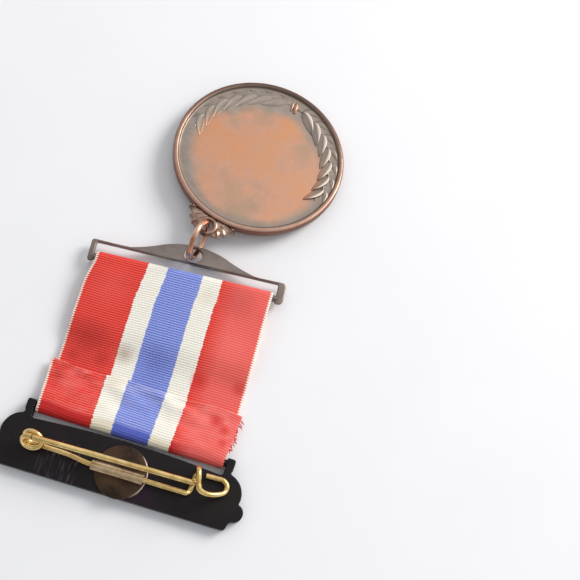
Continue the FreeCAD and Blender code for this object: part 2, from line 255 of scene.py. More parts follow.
def smooth_line(points, per_span):
    # centripetal Catmull-Rom through points
    pts = [Vector(p) for p in points]
    out = []
    for i in range(len(pts) - 1):
        p1, p2 = pts[i], pts[i + 1]
        p0 = pts[i - 1] if i else p1 * 2 - p2
        p3 = pts[i + 2] if i + 2 < len(pts) else p2 * 2 - p1
        t0 = 0.0
        t1 = t0 + max((p1 - p0).length, 1e-9) ** 0.5
        t2 = t1 + max((p2 - p1).length, 1e-9) ** 0.5
        t3 = t2 + max((p3 - p2).length, 1e-9) ** 0.5
        for k in range(per_span):
            t = t1 + (t2 - t1) * k / per_span
            a1 = p0 * ((t1 - t) / (t1 - t0)) + p1 * ((t - t0) / (t1 - t0))
            a2 = p1 * ((t2 - t) / (t2 - t1)) + p2 * ((t - t1) / (t2 - t1))
            a3 = p2 * ((t3 - t) / (t3 - t2)) + p3 * ((t - t2) / (t3 - t2))
            b1 = a1 * ((t2 - t) / (t2 - t0)) + a2 * ((t - t0) / (t2 - t0))
            b2 = a2 * ((t3 - t) / (t3 - t1)) + a3 * ((t - t1) / (t3 - t1))
            out.append(b1 * ((t2 - t) / (t2 - t1)) + b2 * ((t - t1) / (t2 - t1)))
    out.append(pts[-1].copy())
    return out


def join(name, pieces):
    bm = bmesh.new()
    for p in pieces:
        p.data.transform(p.matrix_world)
        bm.from_mesh(p.data)
        bpy.data.objects.remove(p)
    return from_bmesh(name, bm)


def place(piece, matrix):
    piece.data.transform(matrix)


# ---- material helpers ----------------------------------------------------------

class Shade:
    # a small wrapper that keeps node building short
    def __init__(self, name):
        self.material = bpy.data.materials.new(name)
        self.material.use_nodes = True
        self.tree = self.material.node_tree
        self.bsdf = self.tree.nodes["Principled BSDF"]

    def node(self, kind, **settings):
        made = self.tree.nodes.new("ShaderNode" + kind)
        for key, value in settings.items():
            setattr(made, key, value)
        return made

    def feed(self, source, node, socket):
        if isinstance(source, (int, float, tuple, Vector)):
            node.inputs[socket].default_value = source
        else:
            self.tree.links.new(source, node.inputs[socket])

    def coords(self, scale=(1, 1, 1), rotation=(0, 0, 0)):
        source = self.node("TexCoord").outputs["Object"]
        mapping = self.node("Mapping")
        self.tree.links.new(source, mapping.inputs["Vector"])
        mapping.inputs["Scale"].default_value = scale
        mapping.inputs["Rotation"].default_value = rotation
        return mapping.outputs["Vector"]

    def noise(self, vector, scale, detail=4.0, rough=0.55):
        n = self.node("TexNoise")
        self.feed(vector, n, "Vector")
        n.inputs["Scale"].default_value = scale
        n.inputs["Detail"].default_value = detail
        n.inputs["Roughness"].default_value = rough
        return n.outputs["Fac"]

    def math(self, operation, a, b=0.0):
        n = self.node("Math", operation=operation)
        self.feed(a, n, 0)
        self.feed(b, n, 1)
        return n.outputs[0]

    def distance(self, spot, point):
        n = self.node("VectorMath", operation="DISTANCE")
        self.feed(spot, n, 0)
        self.feed(point, n, 1)
        return n.outputs["Value"]

    def split(self, vector):
        n = self.node("SeparateXYZ")
        self.feed(vector, n, 0)
        return n.outputs

    def times(self, a, b):
        return self.math("MULTIPLY", a, b)

    def plus(self, a, b):
        return self.math("ADD", a, b)

    def span(self, value, low, high, to_low=0.0, to_high=1.0):
        n = self.node("MapRange")
        n.clamp = True
        self.feed(value, n, "Value")
        for socket, number in zip(("From Min", "From Max", "To Min", "To Max"), (low, high, to_low, to_high)):
            n.inputs[socket].default_value = number
        return n.outputs["Result"]

    def mix(self, factor, a, b):
        n = self.node("Mix", data_type="RGBA")
        self.feed(factor, n, 0)
        self.feed(a, n, 6)
        self.feed(b, n, 7)
        return n.outputs[2]

    def bump(self, height, strength, distance):
        n = self.node("Bump")
        n.inputs["Strength"].default_value = strength
        n.inputs["Distance"].default_value = distance
        self.feed(height, n, "Height")
        self.tree.links.new(n.outputs["Normal"], self.bsdf.inputs["Normal"])

    def set(self, **values):
        for key, value in values.items():
            self.feed(value, self.bsdf, key.replace("_", " "))


def rgb(r, g, b):
    # a screen colour (0 to 255) as the linear colour that a shader takes
    def linear(v):
        v = v / 255
        return v / 12.92 if v <= 0.04045 else ((v + 0.055) / 1.055) ** 2.4
    return (linear(r), linear(g), linear(b), 1.0)


PER_MM = 1000.0

# the medal's own sizes, in millimetres
MEDAL_R = 17.1
MEDAL_T = 2.1
RIM_W = 1.05
FIELD = 0.45
BRANCH_R = 13.9
STAR_TIP = 9.0
STAR_NOTCH = 4.6

# ---- materials -------------------------------------------------------------------

def near(s, spot, point, radius, soft):
    # 1 within radius millimetres of a point, falling to 0 over soft millimetres
    return s.span(s.distance(spot, point), radius * MM, (radius + soft) * MM, 1.0, 0.0)


def dark_bronze():
    s = Shade("dark_bronze")
    spot = s.coords()
    cloud = s.noise(spot, 0.16 * PER_MM, 5.0, 0.6)
    fine = s.noise(spot, 1.4 * PER_MM, 6.0, 0.65)
    olive = s.mix(s.span(cloud, 0.42, 0.62), rgb(22, 16, 19), rgb(26, 23, 20))
    purple = s.mix(s.span(s.noise(spot, 0.09 * PER_MM, 3.0), 0.5, 0.68), olive, rgb(34, 18, 30))
    # fine parallel scuffs on the side by the coil
    hatch = s.noise(s.coords((5.5, 0.5, 1), rotation=(0, 0, 0.25)), 0.5 * PER_MM, 2.0, 0.5)
    patch = near(s, spot, ROD_TOP + Vector((-9.5, -9.0, 0.7)) * MM, 2.0, 3.0)
    scuff = s.times(s.span(hatch, 0.53, 0.66), patch)
    scuffed = s.mix(s.times(scuff, 0.55), purple, rgb(118, 102, 122))
    colour = s.mix(s.span(fine, 0.64, 0.78), scuffed, rgb(64, 54, 48))
    s.set(Base_Color=colour, Metallic=0.6)
    s.set(Roughness=s.span(fine, 0.3, 0.7, 0.40, 0.56))
    s.bump(fine, 0.12, 0.05 * MM)
    return s.material


def metal(name, light, dark, rough, patch_scale=0.5, grain=2.5, streak=None, strength=0.1):
    s = Shade(name)
    spot = s.coords()
    patches = s.noise(spot, patch_scale * PER_MM, 5.0, 0.6)
    fine = s.noise(s.coords(streak) if streak else spot, grain * PER_MM, 4.0, 0.6)
    colour = s.mix(s.span(patches, 0.38, 0.66), light, dark)
    s.set(Base_Color=colour, Metallic=1.0)
    s.set(Roughness=s.span(fine, 0.3, 0.7, rough - 0.07, rough + 0.1))
    s.bump(fine, strength, 0.03 * MM)
    return s.material


def brown_patch():
    # the disc under the pin: mottled brown, with a painted highlight along the edge towards the catch
    s = Shade("brown_patch")
    spot = s.coords()
    low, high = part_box("pin_base_disc")
    mid = (low + high) / 2
    edge = (high.x - low.x) / 2
    cloud = s.noise(spot, 0.3 * PER_MM, 5.0, 0.6)
    mottled = s.mix(s.span(cloud, 0.38, 0.66), rgb(82, 62, 46), rgb(46, 37, 33))
    # painted highlight: a thin bright ring along the disc's edge, on the side towards the catch
    ring = s.span(s.distance(spot, mid), edge - 0.30 * MM, edge - 0.06 * MM)
    side = s.span(s.split(spot)[0], mid.x + 0.55 * edge, mid.x + 0.85 * edge)
    colour = s.mix(s.times(ring, side), mottled, rgb(228, 204, 190))
    s.set(Base_Color=colour, Metallic=0.9)
    s.set(Roughness=s.span(s.noise(spot, 2.0 * PER_MM, 4.0, 0.6), 0.3, 0.7, 0.34, 0.50))
    return s.material


def medal_bronze():
    # copper in the middle of the field, grey towards the rim, dark in the hollows, with a painted highlight
    # on the crests, painted light and shade round the rim and painted shade on its outer side wall
    s = Shade("medal_bronze")
    spot = s.coords()
    radius = s.node("Attribute", attribute_name="radius").outputs["Fac"]
    patina_and_light = s.node("Attribute", attribute_name="patina_and_light").outputs["Fac"]
    shade_and_highlight = s.node("Attribute", attribute_name="shade_and_highlight").outputs["Fac"]
    cloud = s.noise(spot, 0.14 * PER_MM, 6.0, 0.62)
    fine = s.noise(spot, 0.45 * PER_MM, 7.0, 0.6)
    brush = s.noise(s.coords((3.0, 0.35, 1), rotation=(0, 0, -0.1)), 0.9 * PER_MM, 4.0, 0.6)
    reach = s.plus(patina_and_light, s.span(cloud, 0.25, 0.75, -1.1, 1.1))
    grain = s.span(fine, 0.3, 0.75)
    copper = s.mix(grain, rgb(214, 164, 138), rgb(188, 144, 120))
    grey = s.mix(grain, rgb(172, 158, 146), rgb(142, 130, 120))
    broad = s.noise(spot, 0.075 * PER_MM, 4.0, 0.6)
    orange = s.mix(s.span(broad, 0.38, 0.54, 0.85, 0.0), copper, rgb(210, 150, 110))
    olive = s.mix(s.span(broad, 0.50, 0.66, 0.0, 0.85), orange, rgb(174, 146, 122))
    field = s.mix(s.span(reach, 12.0, 13.9), olive, grey)
    # painted light on the rim: a lit copy on the side of the eye and a shaded copy on the far side
    lit = s.mix(grain, rgb(196, 158, 138), rgb(166, 130, 112))
    shaded = s.mix(grain, rgb(112, 90, 78), rgb(92, 72, 63))
    rim = s.mix(s.span(patina_and_light, 15.6, 18.6), lit, shaded)
    top = s.mix(s.span(radius, MEDAL_R - 1.0, MEDAL_R - 0.85), field, rim)
    # painted shade on the disc's outer side wall
    outer = s.mix(s.span(radius, MEDAL_R - 0.12, MEDAL_R - 0.03), top, rgb(126, 84, 70))
    # darker where the per-point attribute is low: the leaves' low edges, and painted shade in the groove at
    # the foot of the rim and where the low branch meets the rim
    hollow = s.mix(shade_and_highlight, rgb(84, 70, 58), outer)
    # painted highlight where that attribute rises above 1: the tall branch's crests
    colour = s.mix(s.span(shade_and_highlight, 1.05, 1.5), hollow, rgb(236, 220, 204))
    s.set(Base_Color=colour, Metallic=0.85)
    s.set(Roughness=s.span(fine, 0.3, 0.7, 0.34, 0.48))
    s.bump(brush, 0.16, 0.05 * MM)
    return s.material


STRIPE_BLUE = 3.54
STRIPE_CREAM = 7.37
RIBBON_W = 34.6
SELVAGE = 0.46
RIB = 0.46
# worn and soiled places, and painted shade in dips and creases: x, y from the brooch rod, radius, softness,
# strength, colour
STAINS_AND_SHADE = (
    (-5.6, 13.6, 0.3, 2.2, 0.55, rgb(150, 112, 84)),
    # painted shade in the dips of the back layer above the flap: on the left red and on the blue
    (-13.0, 14.0, 1.0, 4.5, 0.30, rgb(120, 10, 18)),
    (0.4, 13.0, 1.0, 3.4, 0.24, rgb(36, 44, 130)),
    (11.5, 29.5, 1.0, 3.5, 0.25, rgb(120, 24, 28)),
    (-12.0, 25.0, 1.0, 4.0, 0.18, rgb(255, 120, 112)),
    (13.0, 21.0, 1.0, 3.5, 0.20, rgb(255, 130, 122)),
    (10.5, 5.5, 1.0, 3.0, 0.26, rgb(255, 138, 130)),
    (9.0, 12.8, 0.6, 1.6, 0.50, rgb(196, 4, 10)),
    (16.4, 13.6, 0.4, 1.4, 0.50, rgb(196, 4, 10)),
    (14.2, 6.8, 0.4, 1.3, 0.62, rgb(205, 4, 8)),
    (16.1, 5.4, 0.3, 1.0, 0.62, rgb(205, 4, 8)),
    (16.4, 3.0, 0.3, 0.9, 0.62, rgb(205, 4, 8)),
    (-13.0, 5.0, 0.6, 2.0, 0.25, rgb(255, 130, 122)),
    # painted shade in the creases above the flap and on it
    (-9.2, 11.4, 0.3, 1.7, 0.36, rgb(130, 0, 8)),
    (-14.6, 10.8, 0.3, 1.4, 0.30, rgb(130, 0, 8)),
    (-15.2, 7.4, 0.2, 1.3, 0.34, rgb(150, 0, 8)),
    (-6.2, 3.0, 0.3, 1.6, 0.24, rgb(206, 186, 150)),
    (5.6, 28.5, 0.5, 2.4, 0.45, rgb(206, 192, 160)),
    (-5.4, 8.0, 0.4, 1.6, 0.25, rgb(206, 186, 150)),
)


def ribbon_cloth():
    # the cloth's own coordinates: U is millimetres across from the middle / 100, V is millimetres along / 100
    s = Shade("ribbon_cloth")
    uv = s.split(s.node("UVMap", uv_map="cloth").outputs["UV"])
    across = s.times(uv[0], 100.0)
    along = s.times(uv[1], 100.0)
    # each pick of weft moves a stripe's edge a little
    picks = s.math("DIVIDE", along, RIB)
    pick = s.math("FLOOR", picks)
    valley = s.times(s.math("ABSOLUTE", s.math("SUBTRACT", s.math("FRACT", picks), 0.5)), 2.0)
    step = s.node("TexWhiteNoise", noise_dimensions="1D")
    s.feed(pick, step, "W")
    jog = s.times(s.math("SUBTRACT", step.outputs["Value"], 0.5), 0.16)
    side = s.math("ABSOLUTE", across)
    edge = s.math("SUBTRACT", s.plus(side, s.times(valley, 0.14)), jog)
    # fine warp threads along the ribbon, shifted half a thread on every other pick
    odd = s.math("MODULO", pick, 2.0)
    thread = s.math("FRACT", s.plus(s.math("DIVIDE", across, 0.27), s.times(odd, 0.5)))
    bead = s.times(s.math("ABSOLUTE", s.math("SUBTRACT", thread, 0.5)), 2.0)
    depth = s.plus(s.math("POWER", valley, 2.0), s.times(bead, 0.35))
    spot = s.coords()
    fuzz = s.noise(spot, 4.0 * PER_MM, 3.0, 0.6)
    shade = s.span(s.plus(depth, s.times(fuzz, 0.5)), 0.30, 1.35)
    # painted shade on the fold over the rod: it takes the deeper colours
    fold_shade = s.times(s.span(along, 7.9, 8.7), s.span(along, 12.6, 13.4, 0.85, 0.0))
    shade = s.math("MAXIMUM", shade, fold_shade)
    red = s.mix(shade, rgb(255, 88, 74), rgb(172, 8, 14))
    # the stripe on the right has faded
    red = s.mix(s.span(across, 7.6, 11.0, 0.0, 0.34), red, rgb(255, 142, 134))
    cream = s.mix(shade, rgb(255, 255, 249), rgb(220, 208, 182))
    blue = s.mix(shade, rgb(162, 178, 240), rgb(56, 72, 172))
    inner = s.mix(s.math("GREATER_THAN", edge, STRIPE_BLUE), blue, cream)
    outer = s.mix(s.math("GREATER_THAN", edge, STRIPE_CREAM), inner, red)
    tooth = s.plus(s.times(s.math("POWER", valley, 2.0), SELVAGE), RIBBON_W / 2 - SELVAGE)
    # the right edge of the flap and the fold has lost its pale selvage
    frayed = s.times(s.math("LESS_THAN", along, 11.6), s.math("GREATER_THAN", across, 0.0))
    pale = s.times(s.math("GREATER_THAN", side, tooth), s.math("SUBTRACT", 1.0, frayed))
    colour = s.mix(pale, outer, rgb(255, 240, 226))
    # a painted highlight along the flap's cut end, fading into pale worn patches over the rest of the flap
    worn = s.span(s.noise(s.coords((0.5, 1.6, 1)), 0.5 * PER_MM, 5.0, 0.75), 0.42, 0.66)
    highlight_and_wear = s.times(s.span(along, 0.3, 3.0, 0.18, 0.07), worn)
    highlight_and_wear = s.times(highlight_and_wear, s.span(along, 8.0, 8.8, 1.0, 0.0))
    colour = s.mix(highlight_and_wear, colour, rgb(255, 226, 220))
    # stains, and painted shade in dips and creases
    for x, y, radius, soft, strength, tint in STAINS_AND_SHADE:
        place_at = ROD_TOP + Vector((x, y, 0.4)) * MM
        mask = s.times(near(s, spot, place_at, radius, soft), strength)
        colour = s.mix(mask, colour, tint)
    s.set(Base_Color=colour, Roughness=0.75)
    s.bsdf.inputs["Sheen Weight"].default_value = 0.12
    s.bsdf.inputs["Sheen Roughness"].default_value = 0.4
    s.bsdf.inputs["Specular IOR Level"].default_value = 0.3
    height = s.plus(s.times(bead, -0.6), s.times(fuzz, 0.5))
    s.bump(height, 0.6, 0.05 * MM)
    return s.material


MATERIALS = {
    "dark_bronze": dark_bronze(),
    "medal_bronze": medal_bronze(),
    "ribbon_cloth": ribbon_cloth(),
    "grey_bronze": metal("grey_bronze", rgb(148, 136, 129), rgb(118, 106, 99), 0.42, 0.12, 1.6),
    "brass": metal("brass", rgb(244, 214, 146), rgb(206, 168, 102), 0.22, 0.4, 2.2, (1, 6, 6)),
    "pale_brass": metal(
        "pale_brass", rgb(216, 190, 152), rgb(170, 140, 104), 0.32, 0.5, 3.0, (0.3, 4, 4), 0.2
    ),
    "brown_patch": brown_patch(),
    "copper_wire": metal("copper_wire", rgb(232, 184, 158), rgb(176, 122, 96), 0.17, 0.4, 2.0),
    "lug_bronze": metal("lug_bronze", rgb(190, 160, 142), rgb(132, 102, 86), 0.22, 0.6, 2.0),
    "thread": metal("thread", rgb(226, 220, 200), rgb(206, 198, 176), 0.8),
    "red_thread": metal("red_thread", rgb(224, 60, 56), rgb(190, 30, 34), 0.7),
}
for cloth in ("thread", "red_thread"):
    MATERIALS[cloth].node_tree.nodes["Principled BSDF"].inputs["Metallic"].default_value = 0.0


def paint(piece, name):
    piece.data.materials.clear()
    piece.data.materials.append(MATERIALS[name])


def finish_piece(piece, material, body, slot, *nodes):
    paint(piece, material)
    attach(piece, body)
    if nodes:
        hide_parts(*nodes)
    return piece


# ---- brooch bar ----------------------------------------------------------------

BAR_LOW, BAR_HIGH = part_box("brooch_bar")
BAR_MID_X = (BAR_LOW.x + BAR_HIGH.x) / 2
SLOT_HALF = 17.8
ROD_R = 0.65


def brooch_bar():
    def at(x, y):
        # y is in millimetres from the rod's line, x from the bar's middle
        return (BAR_MID_X + x * MM, ROD_TOP.y + y * MM)

    bottom = (BAR_LOW.y - ROD_TOP.y) / MM
    right = [(0, bottom), (10, bottom), (20.1, bottom)]
    right += arc_through((20.1, bottom), (20.75, bottom + 0.25), (20.95, bottom + 0.9), 4)[1:]
    right += arc_through((20.95, bottom + 0.9), (21.2, bottom + 1.5), (22.1, -9.6), 4)[1:]
    right += arc_through((22.1, -9.6), (23.2, -8.1), (21.95, -6.5), 10)[1:]
    right += arc_through((21.95, -6.5), (21.3, -3.2), (19.35, -1.85), 12)[1:]
    right += arc_through((19.35, -1.85), (19.1, -1.5), (19.3, -1.1), 3)[1:]
    right += [(19.35, 0.2)]
    right += arc_through((19.35, 0.5), (19.2, 0.8), (18.8, 0.9), 4)
    right += [(SLOT_HALF, 0.9), (SLOT_HALF, -1.6)]
    right += arc_through((SLOT_HALF, -1.8), (SLOT_HALF - 0.2, -2.2), (SLOT_HALF - 0.6, -2.4), 4)
    left = [(-x, y) for x, y in reversed(right) if x > 0]
    # the slot's lower edge bows up towards the ribbon's middle
    bow = arc_through((SLOT_HALF - 0.6, -2.4), (0, -1.65), (-SLOT_HALF + 0.6, -2.4), 24)
    right += bow[1:-1]
    piece = plate("brooch_bar_back", [at(x, y) for x, y in right + left], BAR_LOW.z, BAR_HIGH.z)
    add_bevel(piece, 0.28 * MM, 3)
    smooth_by_angle(piece)
    return finish_piece(piece, "dark_bronze", "brooch", "dark_bronze", "brooch_bar")


def brooch_rod():
    low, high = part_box("brooch_rod")
    ends = [Vector((low.x, ROD_TOP.y, ROD_TOP.z)), Vector((high.x, ROD_TOP.y, ROD_TOP.z))]
    piece = tube("brooch_crossbar", ends, ROD_R * MM, 20, smooth_path=False)
    return finish_piece(piece, "dark_bronze", "brooch", "dark_bronze", "brooch_rod")


# ---- safety pin ----------------------------------------------------------------

COIL_MID = joint_point("needle_open")
WIRE_R = 0.5
LEG_Z = box_mid("pin_leg").z
BRIDGE_LOW, BRIDGE_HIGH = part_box("pin_bridge")
BRIDGE_Y = (BRIDGE_LOW.y + BRIDGE_HIGH.y) / 2
COIL_R = 1.65 * MM
COIL_PITCH = 1.16 * MM
COIL_TURNS = 1.5
COIL_LEAN = math.radians(34)
COIL_UP = Vector((0, math.sin(COIL_LEAN), math.cos(COIL_LEAN)))
COIL_RUN = Vector((0, -math.cos(COIL_LEAN), math.sin(COIL_LEAN)))


def coil_point(t):
    # t runs from 0 at the leg to 1 at the needle
    a = -math.pi / 2 - 2 * math.pi * COIL_TURNS * t
    swing = X * math.cos(a) + COIL_UP * math.sin(a)
    return COIL_MID + swing * COIL_R + COIL_RUN * (COIL_PITCH * COIL_TURNS * (t - 0.5))


def lathe(name, profile, steps=96):
    # a solid of revolution about Z; profile is a closed run of (radius, height) from axis to axis
    verts, faces = [], []
    count = len(profile)
    rings = []
    for r, z in profile:
        if r < 1e-9:
            rings.append([len(verts)])
            verts.append((0, 0, z))
        else:
            rings.append(list(range(len(verts), len(verts) + steps)))
            for k in range(steps):
                a = 2 * math.pi * k / steps
                verts.append((r * math.cos(a), r * math.sin(a), z))
    for i in range(count - 1):
        a, b = rings[i], rings[i + 1]
        for k in range(steps):
            j = (k + 1) % steps
            if len(a) == 1:
                faces.append((a[0], b[j], b[k]))
            elif len(b) == 1:
                faces.append((a[k], a[j], b[0]))
            else:
                faces.append((a[k], a[j], b[j], b[k]))
    piece = new_object(name, verts, faces)
    tidy_normals(piece)
    return piece


def pin_base_disc():
    low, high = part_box("pin_base_disc")
    mid = (low + high) / 2
    r = (high.x - low.x) / 2
    t = high.z - low.z
    profile = [(0, 0), (r - 0.02 * MM, 0), (r, 0.08 * MM), (r, t - 0.14 * MM), (r - 0.05 * MM, t - 0.04 * MM),
               (r - 0.16 * MM, t), (r * 0.5, t - 0.01 * MM), (0, t - 0.03 * MM)]
    piece = lathe("pin_base_disc_back", profile)
    place(piece, Matrix.Translation((mid.x, mid.y, low.z)))
    smooth_by_angle(piece, 40)
    return finish_piece(piece, "brown_patch", "brooch", "brown_patch", "pin_base_disc")


def pin_bridge():
    # a strap folded over the fixed leg; its ends are pinched a little
    inner, outer = 0.52 * MM, 0.97 * MM
    low = BRIDGE_LOW.z
    height = LEG_Z - low
    section = [(-outer, 0)] + [(-outer, height * 0.6)]
    section += [(outer * math.cos(math.radians(a)), height + outer * math.sin(math.radians(a)) * 0.92)
                for a in range(180, -1, -15)]
    section += [(outer, height * 0.6), (outer, 0), (inner, 0), (inner, height * 0.6)]
    section += [(inner * math.cos(math.radians(a)), height + inner * math.sin(math.radians(a)))
                for a in range(0, 181, 20)]
    section += [(-inner, height * 0.6), (-inner, 0)]
    steps = 40
    verts = []
    for i in range(steps + 1):
        t = i / steps
        x = BRIDGE_LOW.x + (BRIDGE_HIGH.x - BRIDGE_LOW.x) * t
        lift = 0.06 * MM * noise.noise(Vector((t * 5, 0.3, 0)))
        for y, z in section:
            squeeze = 1 - 0.03 * (abs(2 * t - 1) ** 6)
            up = z * squeeze + (lift if z > height else 0)
            verts.append((x, BRIDGE_Y + y, low + up))
    piece = new_object("pin_bridge_strap", verts, skin(len(section), steps + 1))
    tidy_normals(piece)
    add_bevel(piece, 0.07 * MM, 2, 50)
    smooth_by_angle(piece, 40)
    return finish_piece(piece, "pale_brass", "brooch", "pale_brass", "pin_bridge")


def pin_leg():
    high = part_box("pin_leg")[1]
    start = coil_point(0.0)
    points = [
        start,
        start + Vector((2.5, -0.04, 0)) * MM,
        Vector((BRIDGE_LOW.x - 4.1 * MM, start.y - 0.16 * MM, LEG_Z)),
        Vector((BRIDGE_LOW.x - 1.0 * MM, BRIDGE_Y + 0.08 * MM, LEG_Z)),
        Vector((BRIDGE_LOW.x + 1.0 * MM, BRIDGE_Y, LEG_Z)),
        Vector((BRIDGE_HIGH.x, BRIDGE_Y, LEG_Z)),
        Vector((high.x, BRIDGE_Y, LEG_Z)),
    ]
    piece = tube("pin_leg_wire", points, WIRE_R * MM, 24, 8)
    return finish_piece(piece, "brass", "brooch", "brass_wire", "pin_leg")


def pin_catch():
    low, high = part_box("pin_catch")
    start = Vector((low.x, BRIDGE_Y, LEG_Z))

    def at(x, y, z):
        # millimetres from the catch's start
        return start + Vector((x, y, z)) * MM

    over = (high.z - LEG_Z) / MM - WIRE_R
    drop = -0.3
    points = [
        at(0, 0, 0), at(0.7, 0.02, 0), at(1.15, 0.35, drop), at(1.42, 1.3, drop), at(1.45, 3.0, drop),
        at(1.5, 4.05, 0.55), at(1.65, 4.45, over - 0.75), at(1.9, 3.75, over), at(2.4, 1.85, over),
        at(2.85, 0.95, over - 0.1), at(4.1, 0.65, over - 1.0), at(6.0, 1.15, 0.8), at(7.25, 2.1, drop + 0.15),
        at(7.35, 3.2, drop), at(6.5, 3.98, drop), at(5.0, 4.02, drop), at(3.3, 3.98, drop),
    ]
    piece = tube("pin_catch_wire", points, WIRE_R * MM, 24, 8)
    return finish_piece(piece, "brass", "brooch", "brass_wire", "pin_catch")


def pin_coil():
    points = [coil_point(i / 96) for i in range(97)]
    piece = tube("pin_coil_wire", points, WIRE_R * MM, 24, smooth_path=False)
    paint(piece, "brass")
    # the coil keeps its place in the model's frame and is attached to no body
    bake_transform(piece)
    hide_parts("pin_coil")
    return piece


def pin_needle():
    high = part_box("pin_needle")[1]
    start = coil_point(1.0)
    end = Vector((high.x, ROD_TOP.y - 5.4 * MM, LEG_Z + 1.35 * MM))
    along = end - start
    points = [start + along * t for t in (0.002, 0.25, 0.5, 0.75, 0.88, 0.93, 0.97, 1.0)]
    points[2] += Vector((0, 0, 0.05 * MM))

    def taper(t):
        return 1.0 if t < 0.72 else max(0.1, (1 - ((t - 0.72) / 0.28) ** 1.6))

    piece = tube("pin_needle_wire", points, WIRE_R * MM, 24, 8, taper=taper)
    return finish_piece(piece, "brass", "needle", "brass_wire", "pin_needle")


# ---- ribbon ---------------------------------------------------------------------

CLOTH = 0.45
FLAP_END = 9.0
TURN_R = 0.975
RIB_H = 0.075
RIBBON_MID = box_mid("ribbon_front").x


def back_wave(x, y):
    # how the back layer rises and falls; x across from the middle, y from the brooch rod, in millimetres
    fold = math.cos(2 * math.pi * (x + 0.5) / 14.5) * (0.75 - 0.25 * math.copysign(1, x))
    wave = -0.13 * fold * math.exp(-((y - 14.0) / 2.6) ** 2)
    wave += 0.10 * math.sin(x * 0.21 + 1.0) * math.exp(-((y - 24) / 6.0) ** 2)
    wave += 0.12 * noise.noise(Vector((x * 0.12, y * 0.10, 4.2)))
    return wave


def ribbon_path(x):
    # the line of the cloth's middle at x, as (y, z) in millimetres from the brooch rod: from the flap's end
    # round the brooch rod, along the front, round the lower rod and back under the flap
    slope = BAR_ALONG.y / BAR_ALONG.x
    y_end = (ROD_LOW.y - ROD_TOP.y) / MM + (RIBBON_MID / MM + x - ROD_LOW.x / MM) * slope
    z_end = (ROD_LOW.z - ROD_TOP.z) / MM
    front = -TURN_R
    back = front + CLOTH + 0.06
    flap = back + CLOTH + 0.05
    line = []

    def run(knots, steps):
        pts = smooth_line([Vector((0, y, z)) for y, z in knots], steps)
        line.extend((p.y, p.z) for p in pts)

    def turn(cy, cz, start, end, steps):
        for i in range(steps + 1):
            a = math.radians(start + (end - start) * i / steps)
            line.append((cy + TURN_R * math.cos(a), cz + TURN_R * math.sin(a)))

    crease = 0.10 * noise.noise(Vector((x * 0.16, 2.0, 7.1)))

    def flap_at(y, z):
        # the flap is wrinkled
        rough = 0.38 * noise.noise(Vector((x * 0.22 + y * 0.20, y * 0.42 - x * 0.05, 9.3)))
        rough += 0.20 * (1 - abs(noise.noise(Vector((x * 0.30 - y * 0.12, y * 0.22, 3.7))))) ** 6
        ridge = 0.16 * math.exp(-((y - 8.6 + 0.26 * x) / 0.9) ** 2) * min(1.0, max(0.0, x / 6))
        return (y, z + crease + rough + ridge)

    cut = FLAP_END + 0.9 * noise.noise(Vector((x * 0.13, 5.2, 0.7)))
    run([
        (cut, flap + 0.10), flap_at(8.0, flap + 0.12), flap_at(7.0, flap + 0.10), flap_at(5.6, flap + 0.14),
        flap_at(4.2, 0.34), (2.8, 0.70), (1.4, 0.94), (0.25, TURN_R),
    ], 8)
    turn(0, 0, 90, 270, 16)
    run([
        (0.3, front), (8, front), (16, front), (22.7, front), (y_end - 5.5, front + 0.35),
        (y_end - 2.5, z_end - TURN_R - 0.06), (y_end - 0.3, z_end - TURN_R),
    ], 14)
    turn(y_end, z_end, 270, 450, 16)
    knots = [(y_end - 0.3, z_end + TURN_R), (y_end - 3.0, z_end + TURN_R - 0.08)]
    for y, z in (
        (y_end * 0.82, 1.36), (y_end * 0.72, 1.16), (19.6, 1.02), (17.6, 0.86), (15.9, 0.46), (14.4, 0.0),
        (12.9, -0.30), (11.0, -0.40), (9.0, back + 0.02), (6.0, back), (2.9, back),
    ):
        fade = min(1.0, max(0.0, (y - 9.5) / 4.0))
        knots.append((y, z + back_wave(x, y) * fade))
    run(knots, 10)
    return line


def resample(line, count):
    lengths = [0.0]
    for (y0, z0), (y1, z1) in zip(line, line[1:]):
        lengths.append(lengths[-1] + math.hypot(y1 - y0, z1 - z0))
    total = lengths[-1]
    out = []
    i = 0
    for k in range(count):
        want = total * k / (count - 1)
        while i < len(lengths) - 2 and lengths[i + 1] < want:
            i += 1
        gap = lengths[i + 1] - lengths[i]
        f = (want - lengths[i]) / gap if gap > 1e-9 else 0.0
        y = line[i][0] + (line[i + 1][0] - line[i][0]) * f
        z = line[i][1] + (line[i + 1][1] - line[i][1]) * f
        out.append((y, z))
    return out, total


def drift(x, y, share):
    # how far a point of the cloth sits from its straight place across the ribbon; share is its place along it
    if share < 0.13:
        # the flap spreads towards its cut end
        out = min(1.0, max(0.0, y / FLAP_END))
        return out * (0.045 * x + 0.05)
    # it gathers a little where it passes through the lower bar's slot
    gather = -0.022 * x * min(1.0, max(0.0, (y - 24.0) / 5.0))
    if share < 0.62:
        return gather
    # the back layer leans towards +X nearer the brooch
    near_slot = min(1.0, max(0.0, (29.0 - y) / 4.0))
    return gather + 0.6 * min(1.0, max(0.0, (31.0 - y) / 22.0)) - 0.35 * near_slot


